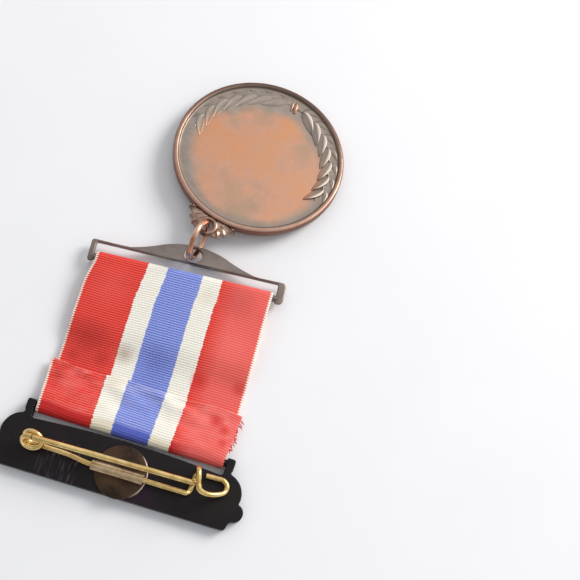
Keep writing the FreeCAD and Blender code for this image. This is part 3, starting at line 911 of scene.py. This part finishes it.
def fray_threads():
    # broken threads along the flap's right edge
    draw = random.Random(SEED)
    parts = []
    for i in range(30):
        y = 2.3 + 5.9 * i / 29 + draw.uniform(-0.2, 0.2)
        z = 0.05 - 0.02 * y
        reach = draw.uniform(0.25, 1.0)
        start = Vector((RIBBON_W / 2 - 0.5 + 0.08 * y, y, z))
        side = draw.uniform(-0.7, 0.15)
        steps = [
            (0, 0, 0), (0.5, side * 0.3, 0.05), (0.5 + reach * 0.6, side, 0.04),
            (0.5 + reach, side * 1.5 - 0.1, -0.1 + draw.uniform(-0.1, 0.1)),
        ]
        origin = Vector((RIBBON_MID, ROD_TOP.y, ROD_TOP.z)) + start * MM
        world = [origin + Vector(p) * MM for p in steps]
        parts.append(tube("fray", world, draw.uniform(0.05, 0.09) * MM, 8, 4))
    piece = join("ribbon_fray", parts)
    smooth_by_angle(piece, 60)
    return finish_piece(piece, "red_thread", "ribbon", "thread")


def ribbon():
    half_w = RIBBON_W / 2
    columns = [-half_w, -half_w + 0.12, -half_w + 0.3, -half_w + 0.5]
    inner = 44
    columns += [-half_w + 0.5 + (RIBBON_W - 1.0) * i / inner for i in range(1, inner)]
    columns += [half_w - 0.5, half_w - 0.3, half_w - 0.12, half_w]
    total_mid = resample(ribbon_path(0.0), 10)[1]
    ribs = round(total_mid / RIB)
    rows = ribs * 4 + 1
    lines = [resample(ribbon_path(x), rows)[0] for x in columns]
    top, under, uvs = [], [], []
    for r in range(rows):
        share = r / (rows - 1)
        phase = (r % 4) / 4
        along = share * ribs * RIB
        for c, x in enumerate(columns):
            y, z = lines[c][r]
            y0, z0 = lines[c][max(r - 1, 0)]
            y1, z1 = lines[c][min(r + 1, rows - 1)]
            ty, tz = y1 - y0, z1 - z0
            size = math.hypot(ty, tz) or 1.0
            # the normal that points out of the cloth's back face on the flap
            ny, nz = tz / size, -ty / size
            swell = abs(math.sin(math.pi * phase)) ** 0.9
            firm = min(1.0, (half_w - abs(x)) / 0.35)
            rise = CLOTH / 2 - RIB_H + RIB_H * swell
            thick = rise * (0.55 + 0.45 * firm)
            uneven = 0.10 * noise.noise(Vector((along * 0.5, math.copysign(3.0, x), 1.7)))
            out = (0.20 * (swell - 0.6) + uneven) * (1 - firm)
            xx = x + math.copysign(out, x) + drift(x, y, share)
            base = Vector((RIBBON_MID + xx * MM, ROD_TOP.y, ROD_TOP.z))
            top.append(base + Vector((0, (y + ny * thick) * MM, (z + nz * thick) * MM)))
            under.append(base + Vector((0, (y - ny * thick) * MM, (z - nz * thick) * MM)))
            uvs.append((x / 100, along / 100))
    n = len(columns)
    count = rows * n
    verts = top + under
    faces = []
    for r in range(rows - 1):
        for c in range(n - 1):
            a = r * n + c
            faces.append((a, a + 1, a + n + 1, a + n))
            faces.append((count + a, count + a + n, count + a + n + 1, count + a + 1))
        for c in (0, n - 1):
            a = r * n + c
            quad = (a, a + n, count + a + n, count + a)
            faces.append(quad if c == 0 else tuple(reversed(quad)))
    for c in range(n - 1):
        faces.append((c, count + c, count + c + 1, c + 1))
        a = (rows - 1) * n + c
        faces.append((a, a + 1, count + a + 1, count + a))
    piece = new_object("ribbon_cloth_strip", verts, faces)
    layer = piece.data.uv_layers.new(name="cloth")
    for loop in piece.data.loops:
        layer.data[loop.index].uv = uvs[loop.vertex_index % count]
    tidy_normals(piece)
    finish_piece(piece, "ribbon_cloth", "ribbon", "ribbon", "ribbon_front", "ribbon_back", "ribbon_flap",
                 "ribbon_top_turn", "ribbon_bottom_turn")
    fray = fray_threads()
    print("ribbon length mm", round(total_mid, 1))
    return piece


# ---- suspension bar ---------------------------------------------------------------

def suspension_bar():
    left, right = -18.3, 19.5
    slot_left, slot_right, slot_top = -17.3, 18.0, 2.95
    rail, mid, arch = 3.4, 1.0, 6.6
    outline = arc_through((left, -0.5), (left + 0.12, -0.8), (left + 0.4, -0.9), 3)
    outline += [(slot_left, -0.9), (slot_left, slot_top - 0.4)]
    outline += arc_points((slot_left + 0.3, slot_top - 0.3), 0.3, 180, 90, 3)
    outline += [(slot_left + (slot_right - slot_left) * i / 6, slot_top) for i in range(1, 6)]
    outline += arc_points((slot_right - 0.3, slot_top - 0.3), 0.3, 90, 0, 3)
    outline += [(slot_right, -0.9), (right - 0.6, -0.9)]
    outline += arc_through((right - 0.5, -0.85), (right - 0.1, -0.4), (right, 0.3), 5)
    outline += [(right, rail - 1.1)]
    outline += arc_through((right, rail - 0.9), (right - 0.25, rail - 0.25), (right - 0.9, rail), 5)
    outline += [(right - 3.0, rail - 0.05), (mid + 13.0, rail - 0.1)]
    outline += arc_through((mid + 12.0, rail), (mid + 9.2, 4.2), (mid + 6.0, 5.5), 8)
    outline += arc_through((mid + 6.0, 5.5), (mid, arch), (mid - 6.0, 5.5), 14)[1:]
    outline += arc_through((mid - 6.0, 5.5), (mid - 9.2, 4.2), (mid - 12.0, rail), 8)[1:]
    outline += [(mid - 15.0, rail - 0.05)]
    outline += arc_through((left + 0.6, rail), (left + 0.15, rail - 0.15), (left, rail - 0.6), 4)
    hole = arc_points((mid, 4.65), 1.6, 0, 345, 23)
    low, high = -0.5 * MM, 0.5 * MM
    scaled = [(x * MM, y * MM) for x, y in outline]
    piece = plate("suspension_bar_arch", scaled, low, high, [[(x * MM, y * MM) for x, y in hole]])
    place(piece, BAR_FRAME)
    add_bevel(piece, 0.17 * MM, 3)
    smooth_by_angle(piece)
    finish_piece(piece, "grey_bronze", "suspension", "grey_bronze", "suspension_bar")
    low_corner, high_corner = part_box("suspension_rod")
    half = (high_corner.x - low_corner.x) / 2 / BAR_ALONG.x
    centre = ROD_LOW + BAR_ALONG * ((slot_left + slot_right) / 2 * MM)
    ends = [centre - BAR_ALONG * half, centre + BAR_ALONG * half]
    rod = tube("suspension_crossbar", ends, ROD_R * MM, 20, smooth_path=False)
    finish_piece(rod, "grey_bronze", "suspension", "grey_bronze", "suspension_rod")


# ---- jump ring ---------------------------------------------------------------------

RING_R = 3.6
RING_WIRE = 0.53


def jump_ring():
    u = RING_NORMAL.orthogonal().normalized()
    v = RING_NORMAL.cross(u)
    # the wire's two ends meet in a fine cut on the bar's side
    points = []
    steps = 120
    gap = 0.012
    away = (RING_MID - EYE).normalized()
    start = math.atan2(away.dot(v), away.dot(u)) + 0.9
    for i in range(steps + 1):
        a = start + gap + (2 * math.pi - 2 * gap) * i / steps
        points.append(RING_MID + (u * math.cos(a) + v * math.sin(a)) * (RING_R * MM))
    piece = tube("jump_ring_wire", points, RING_WIRE * MM, 28, smooth_path=False)
    return finish_piece(piece, "copper_wire", "ring", "copper_wire", "jump_ring")


# ---- medal ---------------------------------------------------------------------------

def store_masks(piece, shade_and_highlight, as_rim=False):
    # keeps what the colours follow, in millimetres: the distance from the medal's axis and from the middle of
    # the worn patch (the patina, and the painted light on the rim), and each point's painted shade and
    # highlight, given by a function of the point; as_rim gives it the lit rim's colour
    points = [v.co / MM for v in piece.data.vertices]
    values = {
        "radius": [MEDAL_R - 0.5 if as_rim else math.hypot(p.x, p.y) for p in points],
        "patina_and_light": [0.0 if as_rim else math.hypot(p.x - 0.4, p.y + 2.0) for p in points],
        "shade_and_highlight": [shade_and_highlight(p) for p in points],
    }
    for name, numbers in values.items():
        piece.data.attributes.new(name, "FLOAT", "POINT").data.foreach_set("value", numbers)


def unshaded(point):
    return 1.0


def struck(piece, node, shade_and_highlight=unshaded, as_rim=False, smooth=True):
    # finishes a piece of the medal that was made in the medal's own frame
    store_masks(piece, shade_and_highlight, as_rim)
    if smooth:
        smooth_by_angle(piece, 60)
    place(piece, MEDAL_FRAME)
    return finish_piece(piece, "medal_bronze", "medal", "medal_bronze", node)


def field_height(r, face):
    # the field is dished: lowest in the middle; face is +1 for the back and -1 for the front
    dish = 0.15 * (1 - (r / 15.8) ** 2)
    return face * (MEDAL_T / 2 - FIELD - dish)


def medal_disc():
    inner = MEDAL_R - RIM_W
    half = MEDAL_T / 2
    back = [(r, field_height(r, 1)) for r in (0, 2, 4, 6, 8, 10, 11.5, 13, 14.2, 15.2, 15.7)]
    back += [(inner - 0.1, half - FIELD + 0.03), (inner + 0.02, half - FIELD + 0.14)]
    back += [(inner + 0.08, half - 0.16), (inner + 0.17, half - 0.05), (inner + 0.32, half)]
    back += [(MEDAL_R - 0.5, half), (MEDAL_R - 0.26, half - 0.04)]
    back += [(MEDAL_R - 0.08, half - 0.16), (MEDAL_R, half - 0.38), (MEDAL_R, 0)]
    front = [(r, -z) for r, z in reversed(back[:-1])]
    profile = [(r * MM, z * MM) for r, z in back + front]
    piece = lathe("medal_struck_disc", profile, 192)

    def shade_and_highlight(p):
        r = math.hypot(p.x, p.y)
        # painted shade: a dark line in the groove at the foot of the rim, and the field a little darker just
        # inside it
        return 0.3 if inner - 0.15 < r < inner + 0.1 else 0.85 if inner - 1.0 < r < inner else 1.0

    return struck(piece, "medal_disc", shade_and_highlight)


def leaf_mesh(root, heading, length, width, curl, base, height, lip=0):
    # one struck leaf: a pointed blade bent to one side by curl; it has a creased middle, or with lip
    # (+1 or -1) rises from one edge to a lip along the other
    rows, cols = 16, 12
    verts = []
    for i in range(rows + 1):
        t = i / rows
        spread = width / 2 * (math.sin(math.pi * t ** 0.8) ** 0.75) if 0 < t < 1 else 0.012
        bend = curl * length * (0.42 * t ** 1.8 if lip else 0.16 * math.sin(math.pi * t * 1.25))
        rise = height * (math.sin(math.pi * min(1.0, t * 0.84 + 0.12)) ** 0.5)
        top = []
        for k in range(cols + 1):
            q = 2 * k / cols - 1
            x = t * length
            y = q * spread + bend
            if lip:
                up = q * lip
                ridge = rise * min(1.0, 0.18 + 0.82 * ((up + 1) / 1.45) ** 2.2, (1 - up) / 0.16)
            else:
                crease = 0.28 * height * math.exp(-((q + 0.1) / 0.16) ** 2) * math.sin(math.pi * t)
                ridge = (1 - abs(q) ** 1.8) * rise - crease
            z = base + max(0.0, ridge) - (0.06 if abs(q) > 0.99 else 0.0)
            top.append(Vector((root[0] + x * math.cos(heading) - y * math.sin(heading),
                               root[1] + x * math.sin(heading) + y * math.cos(heading), z)))
        # a flat underside closes the leaf
        verts += top + [Vector((v.x, v.y, base - 0.12)) for v in reversed(top)]
    return verts, skin(2 * (cols + 1), rows + 1)


LEAF_PAIRS = 7
LEAF_STEP = 13.0


def wreath_branch(name, sign, node, relief):
    draw = random.Random(SEED + sign)
    base = MEDAL_T / 2 - FIELD - 0.04
    parts = []
    for i in range(LEAF_PAIRS):
        angle = math.radians(90 - sign * (7.0 + LEAF_STEP * i))
        along = angle - sign * math.pi / 2
        radius = BRANCH_R + 0.05 + 0.05 * i
        root = (radius * math.cos(angle), radius * math.sin(angle))
        for side in (1, -1):
            # the inner leaves lie closer to the stem, are longer and stand higher
            inside = side * sign < 0
            spread = math.radians((8 if inside else 30) + draw.uniform(-2, 2))
            length = (5.2 if inside else 3.9) - 0.10 * i + draw.uniform(-0.12, 0.12)
            width = (2.3 if inside else 1.7) - 0.06 * i
            high = relief if inside else relief * 0.3
            curl = 1.0 if inside else 0.75
            lip = -side if inside else 0
            parts.append(leaf_mesh(root, along + side * spread, length, width, side * curl, base, high, lip))
    # the stem the leaves grow from
    steps = 60
    stem = []
    section = [(-0.2, -0.1), (-0.14, 0.2 * relief), (0, 0.3 * relief), (0.14, 0.2 * relief), (0.2, -0.1)]
    for i in range(steps + 1):
        a = math.radians(90 - sign * (1.0 + (6.0 + LEAF_STEP * LEAF_PAIRS) * i / steps))
        r = BRANCH_R + 0.05 + 0.05 * LEAF_PAIRS * i / steps
        for dr, dz in section:
            stem.append(Vector(((r + dr) * math.cos(a), (r + dr) * math.sin(a), base + dz)))
    parts.append((stem, skin(len(section), steps + 1)))
    verts, faces = gather(parts)
    piece = new_object(name, [v * MM for v in verts], faces)
    tidy_normals(piece)

    def shade_and_highlight(p):
        # a painted highlight on the tall branch's crests; the leaves darken towards their low edges
        up = max(0.0, p.z - base) / relief
        highlight_and_wear = max(0.0, up - 0.6) * 1.6 if relief > 0.3 else 0.0
        if relief < 0.3 and math.hypot(p.x, p.y) > 15.1:
            # painted shade where the low branch's leaves meet the rim
            return 0.35
        return min(1.0, 0.40 + 1.6 * up) + highlight_and_wear

    return struck(piece, node, shade_and_highlight)


def wreath_tie():
    base = MEDAL_T / 2 - FIELD - 0.05
    lean = math.tan(math.radians(-16))
    parts = []

    def swell(t):
        return 0.55 + 0.45 * math.sin(math.pi * t)

    for shift, thick in ((-0.62, 0.26), (0.18, 0.50)):
        points = []
        for t in (0, 0.25, 0.5, 0.75, 1.0):
            y = BRANCH_R - 1.2 + 2.5 * t
            x = shift + (t - 0.5) * lean * 2.5
            points.append(Vector((x, y, base + 0.16 * math.sin(math.pi * t))) * MM)
        parts.append(tube("tie", points, thick * MM, 16, 6, taper=swell))
    piece = join("wreath_tie_band", parts)
    return struck(piece, "wreath_tie", as_rim=True)


def front_star():
    # an eight-pointed star with ridged points on the front
    base = -(MEDAL_T / 2 - FIELD - 0.02)
    verts = [Vector((0, 0, base - 0.42)) * MM]
    rim = []
    for i in range(16):
        r = STAR_TIP if i % 2 == 0 else STAR_NOTCH
        a = math.radians(90 + 22.5 * i)
        rim.append(len(verts))
        verts.append(Vector((r * math.cos(a), r * math.sin(a), base - 0.03)) * MM)
    ground = []
    for i in range(16):
        v = verts[rim[i]]
        ground.append(len(verts))
        verts.append(Vector((v.x, v.y, (base + 0.2) * MM)))
    faces = []
    for i in range(16):
        j = (i + 1) % 16
        faces.append((0, rim[i], rim[j]))
        faces.append((rim[i], ground[i], ground[j], rim[j]))
    faces.append(tuple(ground))
    piece = new_object("front_star_relief", verts, faces, smooth=False)
    tidy_normals(piece)
    add_bevel(piece, 0.05 * MM, 2, 10)
    return struck(piece, "front_star", smooth=False)


EYE_Y = -19.0


def lug_eye():
    # a rounded eye that the ring passes through
    profile = []
    mid_r, half_w, half_t = 1.6, 0.4, 0.7
    for i in range(24):
        a = 2 * math.pi * i / 24
        c, sn = math.cos(a), math.sin(a)
        r = mid_r + half_w * math.copysign(abs(c) ** 0.6, c)
        profile.append((r, half_t * math.copysign(abs(sn) ** 0.6, sn)))
    steps = 64
    verts = []
    for k in range(steps):
        a = 2 * math.pi * k / steps
        for r, z in profile:
            verts.append(Vector((r * math.cos(a), EYE_Y + r * math.sin(a), z)) * MM)
    piece = new_object("lug_eye_ring", verts, skin(len(profile), steps, loop=True))
    tidy_normals(piece)
    place(piece, MEDAL_FRAME)
    return finish_piece(piece, "lug_bronze", "medal", "lug_bronze", "lug_eye")


def lug_blade(root, heading, length, width, high):
    # a faceted leaf of the lug's ornament: a ridge with two flat flanks
    rows = 8
    verts = []
    for i in range(rows + 1):
        t = i / rows
        spread = max(0.05, width / 2 * math.sin(math.pi * (0.10 + 0.84 * t)) ** 0.8)
        cx = root[0] + length * t * math.cos(heading)
        cy = root[1] + length * t * math.sin(heading)
        nx, ny = -math.sin(heading), math.cos(heading)
        top = high * (0.72 + 0.28 * math.sin(math.pi * t))
        for q, z in ((-1, 0.5 * top), (0, top), (1, 0.5 * top), (0.9, -high * 0.6), (-0.9, -high * 0.6)):
            verts.append(Vector((cx + nx * q * spread, cy + ny * q * spread, z)))
    return verts, skin(5, rows + 1)


def lug_body(sign):
    # half of the trapezoid that joins the eye to the disc's edge, hollowed at its side
    top = -MEDAL_R + 0.55
    line = [(1.55, top + 0.1), (4.6, top)]
    line += arc_through((4.75, top - 0.15), (4.0, -17.9), (2.9, -18.7), 8)
    line += arc_through((2.9, -18.7), (2.95, -19.6), (2.0, -20.2), 6)[1:]
    line += [(1.0, -20.45)]
    room = arc_points((0, EYE_Y), 1.75, -58, 62, 14)
    outline = [(sign * x, y) for x, y in line + room]
    return plate("lug_half", [(x * MM, y * MM) for x, y in outline], -0.5 * MM, 0.42 * MM)


def lug_scroll():
    # a bow of faceted leaves down each side of the eye
    halves = [lug_body(sign) for sign in (1, -1)]
    parts = []
    for sign in (1, -1):
        for x, y, heading, length, width in (
            (2.3, -16.9, -10, 2.9, 1.3),
            (2.0, -17.5, -38, 2.5, 1.35),
            (2.0, -18.4, -62, 1.9, 1.2),
        ):
            angle = heading if sign > 0 else 180 - heading
            parts.append(lug_blade((sign * x, y), math.radians(angle), length, width, 0.62))
    verts, faces = gather(parts)
    leaves = new_object("lug_leaves", [v * MM for v in verts], faces, smooth=False)
    tidy_normals(leaves)
    piece = join("lug_scroll_leaves", [*halves, leaves])
    add_bevel(piece, 0.06 * MM, 2, 25)
    place(piece, MEDAL_FRAME)
    return finish_piece(piece, "lug_bronze", "medal", "lug_bronze", "lug_scroll")


# ---- build the object ------------------------------------------------------------

brooch_bar()
brooch_rod()
pin_base_disc()
pin_bridge()
pin_leg()
pin_catch()
pin_coil()
pin_needle()
ribbon()
suspension_bar()
jump_ring()
medal_disc()
wreath_branch("wreath_branch_right", 1, "wreath_right", 0.50)
wreath_branch("wreath_branch_left", -1, "wreath_left", 0.13)
wreath_tie()
front_star()
lug_eye()
lug_scroll()
paint(frame["nodes"]["ribbon_stitches"], "thread")

# ---- floor, light and camera ---------------------------------------------------------

SKY_DARK = 0.42
SKY_BRIGHT = 0.90
KEY_POWER = 2.6
FLOOR_HALF = 2.5
# the camera's turn as an axis times an angle, in radians, and its place from the brooch rod in millimetres
CAMERA_TURN = Vector((-3.452682, -0.514536, -0.132399))
CAMERA_AT = Vector((16.04, -30.76, 177.23))
CAMERA_LENS = 60.77


def floor():
    corners = [(x * FLOOR_HALF, y * FLOOR_HALF, 0) for x, y in ((-1, -1), (1, -1), (1, 1), (-1, 1))]
    piece = new_object("floor", corners, [(0, 1, 2, 3)], smooth=False)
    s = Shade("paper")
    grain = s.noise(s.coords(), 0.05 * PER_MM, 3.0)
    s.set(Base_Color=s.mix(grain, rgb(238, 238, 240), rgb(244, 243, 244)), Roughness=0.9)
    piece.data.materials.append(s.material)


def area_light(name, location, target, size, power, colour):
    light = bpy.data.lights.new(name, "AREA")
    light.shape = "DISK"
    light.size = size
    light.energy = power
    light.color = colour
    lamp = link(name, light)
    lamp.location = location
    lamp.rotation_mode = "QUATERNION"
    lamp.rotation_quaternion = (Vector(target) - Vector(location)).to_track_quat("-Z", "Y")


def world():
    # a soft sky, brighter on the side of the window
    sky = bpy.data.worlds.new("studio")
    bpy.context.scene.world = sky
    sky.use_nodes = True
    tree = sky.node_tree
    background = tree.nodes["Background"]
    where = tree.nodes.new("ShaderNodeTexCoord")
    facing = tree.nodes.new("ShaderNodeVectorMath")
    facing.operation = "DOT_PRODUCT"
    tree.links.new(where.outputs["Generated"], facing.inputs[0])
    facing.inputs[1].default_value = Vector((0.38, 0.84, 0.38)).normalized()
    ramp = tree.nodes.new("ShaderNodeMapRange")
    ramp.interpolation_type = "SMOOTHSTEP"
    ends = {"From Min": -0.5, "From Max": 1.0, "To Min": SKY_DARK, "To Max": SKY_BRIGHT}
    for socket, number in ends.items():
        ramp.inputs[socket].default_value = number
    tree.links.new(facing.outputs["Value"], ramp.inputs["Value"])
    tree.links.new(ramp.outputs["Result"], background.inputs["Strength"])
    background.inputs["Color"].default_value = (0.95, 0.97, 1.0, 1.0)


def camera():
    data = bpy.data.cameras.new("camera")
    data.lens = CAMERA_LENS
    data.sensor_width = 36.0
    data.clip_start = 0.005
    data.clip_end = 5.0
    piece = link("camera", data)
    m = Matrix.Rotation(CAMERA_TURN.length, 3, CAMERA_TURN.normalized())
    rows = Matrix((m[0], -m[1], -m[2]))
    piece.location = Vector((ROD_TOP.x, ROD_TOP.y, 0)) + CAMERA_AT * MM
    piece.rotation_mode = "QUATERNION"
    piece.rotation_quaternion = rows.transposed().to_quaternion()
    bpy.context.scene.camera = piece


bpy.context.scene.view_settings.view_transform = "Standard"
floor()
area_light("key", (0.36, 0.34, 0.34), (0, 0, 0), 0.30, KEY_POWER, (1.0, 0.985, 0.96))
world()
camera()
